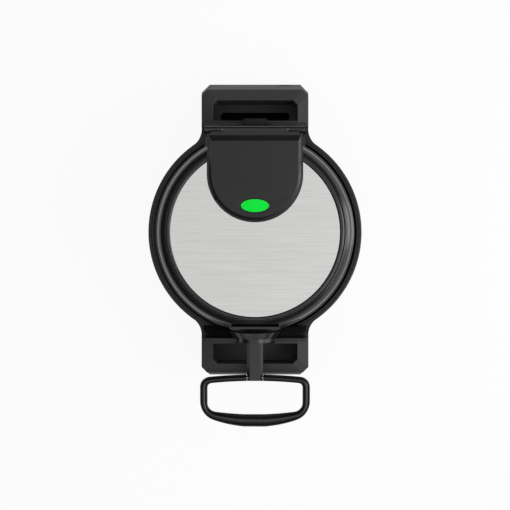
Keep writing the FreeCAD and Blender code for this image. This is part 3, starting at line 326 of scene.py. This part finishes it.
def applied(mesh, kind, inputs=None, **settings):
    # The plain mesh that one modifier makes of a mesh; inputs are a node tree's, by name
    draft = bpy.data.objects.new(mesh.name + "Draft", mesh)
    bpy.context.scene.collection.objects.link(draft)
    step = draft.modifiers.new("step", kind)
    for name, value in settings.items():
        setattr(step, name, value)
    if inputs:
        for socket in step.node_group.interface.items_tree:
            if socket.name in inputs:
                step[socket.identifier] = inputs[socket.name]
    bpy.context.view_layer.update()
    result = bpy.data.meshes.new_from_object(draft.evaluated_get(bpy.context.evaluated_depsgraph_get()))
    draft.modifiers.remove(step)
    bpy.data.objects.remove(draft)
    return result


def slopeRim(work):
    # Cover's narrow rim, let down at its outer edge so that it runs on from the bevel
    look = {"level": 165.79, "fall": 1.24, "rear": 120.0, "near": 0.02}
    for vert in work.verts:
        atLevel = abs(vert.co.z - look["level"] * mm) < look["near"] * mm
        ends = [edge.other_vert(vert).co - vert.co for edge in vert.link_edges]
        aboveWall = any(way.xy.length < look["near"] * mm and way.z < 0 for way in ends)
        if atLevel and aboveWall and vert.co.y < look["rear"] * mm:
            vert.co.z -= look["fall"] * mm


def soften(nodeName, widthMm, sharpFrom):
    # A moulding has no knife edges: a merged copy of the solid gets small round edges
    look = {"weldMm": 0.002, "flatDegrees": 0.5, "roundFromDegrees": 30, "segments": 3}
    work = bmesh.new()
    work.from_mesh(nodes[nodeName].data)
    bmesh.ops.remove_doubles(work, verts=work.verts, dist=look["weldMm"] * mm)
    bmesh.ops.dissolve_limit(work, angle_limit=math.radians(look["flatDegrees"]),
                             verts=work.verts, edges=work.edges)
    if nodeName == "hinge_cover":
        slopeRim(work)
    mesh = bpy.data.meshes.new(nodeName + "Soft")
    work.to_mesh(mesh)
    work.free()
    rounded = applied(mesh, "BEVEL", width=widthMm * mm, segments=look["segments"], limit_method="ANGLE",
                      angle_limit=math.radians(look["roundFromDegrees"]), use_clamp_overlap=True)
    newPiece(nodeName + "Soft", rounded, slotOf[nodeName], bodyOf[nodeName], nodeName,
             sharpFrom=sharpFrom, finish=nodes[nodeName].data.materials[0])


# Width of the round edge in mm, and the angle in degrees from which an edge is shaded crisp
softEdges = {
    "front_post": (0.7, 11), "rear_post": (0.7, 11), "hinge_cover": (0.15, 26), "front_panel": (0.5, 26),
    "rear_panel": (0.4, 26), "latch_lever": (0.2, 26), "rear_bearing_cap": (0.4, 26),
    "base_plate": (0.4, 26),
}
for nodeName, (widthMm, sharpFrom) in softEdges.items():
    soften(nodeName, widthMm, sharpFrom)
print("soft edges on", len(softEdges), "mouldings")


def loopEdge(half, near, far, nearCorner, farCorner, nearBow, farBow):
    # Right half of one edge of the loop, from the middle of the near bar to the middle of the grip
    barSteps, cornerSteps = 24, 8

    def bar(level, sign, corner, bow):
        drop = math.sqrt((bow - corner) ** 2 - (half - corner) ** 2)
        swing = math.atan2(half - corner, drop)
        hub = level + sign * bow
        along = [swing * i / barSteps for i in range(barSteps + 1)]
        turn = [swing + (math.pi / 2 - swing) * i / cornerSteps for i in range(1, cornerSteps + 1)]
        return ([(bow * math.sin(a), hub - sign * bow * math.cos(a)) for a in along]
                + [(half - corner + corner * math.sin(a), hub - sign * drop - sign * corner * math.cos(a))
                   for a in turn])
    return bar(near, 1, nearCorner, nearBow) + bar(far, -1, farCorner, farBow)[::-1]


def spread(points, count):
    # The same line with its points evenly apart
    lengths = [0.0]
    for here, there in zip(points, points[1:]):
        lengths.append(lengths[-1] + math.dist(here, there))
    out, leg = [], 0
    for i in range(count + 1):
        goal = lengths[-1] * i / count
        while leg < len(points) - 2 and lengths[leg + 1] < goal:
            leg += 1
        share = (goal - lengths[leg]) / max(lengths[leg + 1] - lengths[leg], 1e-9)
        out.append([a + (b - a) * share for a, b in zip(points[leg], points[leg + 1])])
    return out


def makeLoop():
    # Handle loop with the section that the grip shows: a lip, a groove, the crest, a groove, a lip.
    # Each edge has its half width, its near and far reach before the head's centre, the radii of its
    # near and far corners, and the radii of its bowed bars, in mm
    look = {"gap": 9.2, "gapRows": 8, "rows": 90,
            "outer": (60.4, 156.793, 214.193, 10.5, 22.0, 490.0, 139.0),
            "inner": (52.2, 163.593, 200.593, 4.6, 10.0, 490.0, 338.0)}
    # Share of the way from the outer to the inner edge, and height above the middle in mm
    section = [(0.0, 1.2), (0.015, 2.4), (0.05, 3.3), (0.1, 3.6), (0.15, 3.3), (0.18, 2.3),
               (0.215, 1.9), (0.25, 2.3), (0.29, 3.9), (0.35, 4.6), (0.44, 4.92), (0.52, 5.0),
               (0.6, 4.9), (0.68, 4.4), (0.73, 3.6), (0.765, 2.3), (0.8, 1.9), (0.835, 2.3),
               (0.865, 3.2), (0.91, 3.5), (0.955, 3.2), (0.985, 2.3), (1.0, 1.2)]
    edges = [spread(loopEdge(*look[side]), look["rows"]) for side in ("outer", "inner")]
    halfRings = []
    for out, into in zip(*edges):
        ring = []
        for sign in (1, -1):
            for share, height in section[::sign]:
                x, y = (a + (b - a) * share for a, b in zip(out, into))
                ring.append((x, headY - y, axisZ + sign * height))
        halfRings.append(ring)
    # The near bar is parted round the stem's eye
    gap = look["gap"]
    cut = [ring for ring in halfRings if max(point[0] for point in ring) > gap]
    cut[0] = [(gap, y, z) for x, y, z in cut[0]]
    for i in range(1, look["gapRows"]):
        cut[i] = [(max(x, gap), y, z) for x, y, z in cut[i]]
    mirrored = [[(-x, y, z) for x, y, z in ring] for ring in cut]
    mesh = closedMesh("handleLoop", cut + mirrored[::-1][1:])
    newPiece("handleLoop", mesh, "black_grip", "handle", "handle_loop")


makeLoop()


def makeStem():
    # Stem between the head and the handle: its bevels keep one slope down to the eye round the rod
    look = {"halfWidth": 8.9, "bevel": 3.0, "rod": 160.193, "bore": 2.15, "facets": 24, "drill": 12,
            "sharpFrom": 11}
    # Distance before the head's centre, half height and drop of the bevel, in mm
    steps = ((120.493, 8.0, 3.0), (157.8, 3.865, 3.0), (162.45, 3.3, 3.0), (163.4, 2.1, 1.9),
             (163.79, 0.8, 0.6))
    half, flat = look["halfWidth"], look["halfWidth"] - look["bevel"]
    rings = []
    for reach, high, drop in steps:
        corners = ((flat, high), (half, high - drop), (half, drop - high), (flat, -high))
        ring = [(x, headY - reach, axisZ + z) for x, z in corners]
        rings.append(ring + [(-x, y, z) for x, y, z in ring[::-1]])
    # The drill is turned by half a facet, which keeps its edges off the stem's middle plane
    turn = [2 * math.pi * (i + 0.5) / look["facets"] for i in range(look["facets"])]
    eye, radius = headY - look["rod"], look["bore"]
    bore = [[(x, eye + radius * math.cos(a), axisZ + radius * math.sin(a)) for a in turn]
            for x in (-look["drill"], look["drill"])]
    drill = bpy.data.objects.new("stemDrill", closedMesh("stemDrill", bore))
    bpy.context.scene.collection.objects.link(drill)
    mesh = applied(closedMesh("handleStem", rings), "BOOLEAN", operation="DIFFERENCE", solver="EXACT",
                   object=drill)
    bpy.data.objects.remove(drill)
    newPiece("handleStem", mesh, "black_gloss", "lower_head", "handle_stem", sharpFrom=look["sharpFrom"])


makeStem()


def makeLens():
    # Dyed lens with a low crown, in a dark surround
    look = {"halfLength": 14.8, "halfWidth": 6.9, "y": 27.9 + headY, "count": 64,
            "crown": 0.32, "edgeHigh": 0.15, "edgeIn": 0.12}
    crownRings = (0.93, 0.8, 0.62, 0.42, 0.2, 0.04)  # share of the way out from the middle
    # Ridge with steep flanks, half sunk in the cover: place outside the lens, and height, in mm
    ridge = ((-0.25, -0.45), (0.3, -0.06), (0.5, 0.0), (0.7, -0.06), (1.25, -0.45), (0.5, -0.8),
             (-0.25, -0.45))
    low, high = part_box("indicator_lens")
    top, bottom = high[2] / mm, low[2] / mm

    def ellipse(grow, z, share=1.0):
        turn = [2 * math.pi * i / look["count"] for i in range(look["count"])]
        return [((look["halfLength"] + grow) * share * math.cos(a),
                 look["y"] + (look["halfWidth"] + grow) * share * math.sin(a), z) for a in turn]
    shoulder = top - look["crown"]
    dome = [ellipse(0, bottom), ellipse(0, shoulder - look["edgeHigh"]), ellipse(-look["edgeIn"], shoulder)]
    dome += [ellipse(0, top - look["crown"] * share ** 2, share) for share in crownRings]
    newPiece("indicatorLens", closedMesh("indicatorLens", dome), "green_lens", "lid", "indicator_lens")
    surround = [ellipse(grow, top + rise) for grow, rise in ridge]
    newPiece("lensSurround", closedMesh("lensSurround", surround, capEnds=False), "black_gloss", "lid")


makeLens()
print("handle loop, stem and lens made")


def screwHead(radius, height, flare):
    # Cross-recess head, its top towards +Z, in mm; the recess is in shares of the radius and height
    look = {"count": 32, "arm": 0.16, "flank": 0.32, "reach": 0.56, "floor": 0.75, "depth": 0.55}
    turn = [2 * math.pi * i / look["count"] for i in range(look["count"])]
    # Share of the radius, and height
    outline = ((1.0, 0.0), (1.0, height * (1 - flare)), (0.86, height * 0.92), (0.68, height))
    rows = [[(radius * share * math.cos(a), radius * share * math.sin(a), z) for a in turn]
            for share, z in outline]
    for z, grow in ((height, 1.0), (height * (1 - look["depth"]), look["floor"])):
        ring = []
        for a in turn:
            near = min(abs(math.cos(a)), abs(math.sin(a)))
            reach = look["reach"] if near < look["flank"] else look["arm"] / near
            ring.append((radius * reach * grow * math.cos(a), radius * reach * grow * math.sin(a), z))
        rows.append(ring)
    return closedMesh("screwHead", rows)


def repeatTree(slot):
    # Sets a copy of one object on every point of the mesh, turned and as large as asked
    tree = bpy.data.node_groups.new("repeatOnSpots", "GeometryNodeTree")
    inputs = {"Spots": "Geometry", "Template": "Object", "Turn": "Vector", "Size": "Float"}
    for name, kind in inputs.items():
        tree.interface.new_socket(name, in_out="INPUT", socket_type="NodeSocket" + kind)
    tree.interface.new_socket("Result", in_out="OUTPUT", socket_type="NodeSocketGeometry")
    given = addNode(tree, "NodeGroupInput").outputs
    template = addNode(tree, "GeometryNodeObjectInfo", {"Object": given["Template"]})
    copies = addNode(tree, "GeometryNodeInstanceOnPoints", {
        "Points": given["Spots"], "Instance": template.outputs["Geometry"], "Rotation": given["Turn"],
        "Scale": given["Size"]})
    real = addNode(tree, "GeometryNodeRealizeInstances", {"Geometry": copies.outputs["Instances"]})
    skin = addNode(tree, "GeometryNodeSetMaterial", {
        "Geometry": real.outputs["Geometry"], "Material": finishes[slot]})
    addNode(tree, "NodeGroupOutput", {"Result": skin.outputs["Geometry"]})
    return tree


def repeatPiece(name, mesh, look):
    template = bpy.data.objects.new(name + "Template", mesh)
    spots = bpy.data.meshes.new(name + "Spots")
    spots.from_pydata([(x * mm, (y + headY) * mm, look["level"] * mm) for x, y in look["spots"]], [], [])
    inputs = {"Template": template, "Turn": [math.radians(a) for a in look["turn"]], "Size": look["size"]}
    result = applied(spots, "NODES", inputs, node_group=repeatTree(look["slot"]))
    bpy.data.objects.remove(template)
    newPiece(name, result, look["slot"], look["body"])
    print(name, len(look["spots"]), "times")


# Spots are in mm from the head's centre, and the level is above the floor. A head is given by its
# radius, its height and the rounded share of that height
plateCircle = 88
quarters = [math.radians(a) for a in (0, 90, 180, 270)]
plateSpots = [(plateCircle * math.cos(a), plateCircle * math.sin(a)) for a in quarters] + [(0, 0)]
screws = {
    "baseScrews": {
        "slot": "steel", "body": "base", "turn": (180, 0, 0), "size": 1.0, "level": 4.0,
        "head": (3.4, 1.7, 0.45), "spots": [(-40, -146), (-40, 150), (40, -146), (40, 150),
                                            (-100, 0), (100, 0), (0, -100), (0, 100)]},
    "lowerPlateScrews": {
        "slot": "steel", "body": "lower_head", "turn": (0, 0, 0), "size": 1.0, "level": axisZ - 0.32,
        "head": (3.0, 0.2, 0.5), "spots": plateSpots},
    "upperPlateScrews": {
        "slot": "steel", "body": "lid", "turn": (180, 0, 0), "size": 1.0, "level": axisZ + 0.32,
        "head": (3.0, 0.2, 0.5), "spots": plateSpots},
}
for name, look in screws.items():
    repeatPiece(name, screwHead(*look["head"]), look)


def makeFloor():
    # Paper sweep: it shows white, to the camera and in gloss, and keeps a faint shadow
    look = {"size": 60.0, "colour": "#f4f4f3", "glow": 0.92}
    half = look["size"] / 2
    corners = [(-half, -half, 0), (half, -half, 0), (half, half, 0), (-half, half, 0)]
    mesh = bpy.data.meshes.new("studioFloor")
    mesh.from_pydata(corners, [], [(0, 1, 2, 3)])
    floor = bpy.data.objects.new("studioFloor", mesh)
    bpy.context.scene.collection.objects.link(floor)
    paper, tree, shader, _ = newFinish("studioPaper", {
        "Roughness": 0.9, "Base Color": toLinear(look["colour"])})
    rays = addNode(tree, "ShaderNodeLightPath").outputs
    seen = addNode(tree, "ShaderNodeMath", {
        0: rays["Is Camera Ray"], 1: rays["Is Glossy Ray"]}, operation="MAXIMUM")
    seen = addNode(tree, "ShaderNodeMath", {
        0: seen.outputs["Value"], 1: rays["Is Transmission Ray"]}, operation="MAXIMUM")
    share = addNode(tree, "ShaderNodeMath", {
        0: seen.outputs["Value"], 1: look["glow"]}, operation="MULTIPLY")
    white = addNode(tree, "ShaderNodeEmission", {"Color": (1, 1, 1, 1), "Strength": 1.0})
    both = addNode(tree, "ShaderNodeMixShader", {
        0: share.outputs["Value"], 1: shader.outputs["BSDF"], 2: white.outputs["Emission"]})
    output = next(node for node in tree.nodes if node.type == "OUTPUT_MATERIAL")
    tree.links.new(both.outputs["Shader"], output.inputs["Surface"])
    mesh.materials.append(paper)


def makeSky():
    # One broad softbox overhead and a pale wall on the right of a dark room, so that level faces are
    # pale, and slopes are black but for those that face the wall
    wall = {"glow": 1.3, "starts": 0.1, "whole": 0.8, "full": 0.3, "top": 0.5}
    # Share of the way from straight down to straight up, and brightness
    steps = ((0.0, 0.6), (0.49, 0.6), (0.5, 0.1), (0.66, 0.08), (0.8, 0.02), (0.88, 0.4), (0.95, 1.3),
             (1.0, 0.8))
    world = bpy.data.worlds.new("studio")
    bpy.context.scene.world = world
    world.use_nodes = True
    tree = world.node_tree
    tree.nodes.clear()
    aim = addNode(tree, "ShaderNodeTexCoord").outputs["Generated"]
    split = addNode(tree, "ShaderNodeSeparateXYZ", {"Vector": aim}).outputs
    level = addNode(tree, "ShaderNodeMapRange", {"Value": split["Z"], "From Min": -1.0, "From Max": 1.0})
    side = addNode(tree, "ShaderNodeMapRange", {
        "Value": split["X"], "From Min": wall["starts"], "From Max": wall["whole"], "To Max": wall["glow"]})
    below = addNode(tree, "ShaderNodeMapRange", {
        "Value": split["Z"], "From Min": wall["full"], "From Max": wall["top"],
        "To Min": 1.0, "To Max": 0.0})
    beside = addNode(tree, "ShaderNodeMath", {
        0: side.outputs["Result"], 1: below.outputs["Result"]}, operation="MULTIPLY")
    ramp = addNode(tree, "ShaderNodeValToRGB", {"Fac": level.outputs["Result"]})
    points = ramp.color_ramp.elements
    while len(points) < len(steps):
        points.new(0.5)
    for point, (spot, grey) in zip(points, steps):
        point.position = spot
        point.color = (grey, grey, grey, 1.0)
    light = addNode(tree, "ShaderNodeMath", {
        0: ramp.outputs["Color"], 1: beside.outputs["Value"]}, operation="ADD")
    sky = addNode(tree, "ShaderNodeBackground", {"Color": light.outputs["Value"], "Strength": 1.0})
    addNode(tree, "ShaderNodeOutputWorld", {"Surface": sky.outputs["Background"]})


makeFloor()
makeSky()
headMiddle = (0.0, 0.0181, 0.122)  # what the lamps and the camera aim at, in metres
lamps = {
    "keyRight": {"place": (1.1, 0.1, 0.42), "size": (0.5, 1.0), "watts": 5},
    "softRight": {"place": (0.9, -0.35, 1.2), "size": (0.7, 0.7), "watts": 4},
}


def addLamp(name, look):
    data = bpy.data.lights.new(name, "AREA")
    data.shape = "RECTANGLE"
    data.size, data.size_y = look["size"]
    data.energy = look["watts"]
    lamp = bpy.data.objects.new(name, data)
    bpy.context.scene.collection.objects.link(lamp)
    lamp.location = look["place"]
    aim = Vector(headMiddle) - Vector(look["place"])
    lamp.rotation_euler = aim.to_track_quat("-Z", "Y").to_euler()


for name, look in lamps.items():
    addLamp(name, look)


def makeCamera():
    # Straight above the head's centre, which the photograph shows a little above the middle
    look = {"height": 1.3, "lensMm": 75.6, "sensorMm": 36.0, "shiftY": -0.045}
    data = bpy.data.cameras.new("camera")
    data.lens, data.sensor_width, data.shift_y = look["lensMm"], look["sensorMm"], look["shiftY"]
    camera = bpy.data.objects.new("camera", data)
    bpy.context.scene.collection.objects.link(camera)
    camera.location = (headMiddle[0], headMiddle[1], look["height"])
    bpy.context.scene.camera = camera


makeCamera()
bpy.context.scene.view_settings.view_transform = "Standard"
print("stage, lamps and camera set")
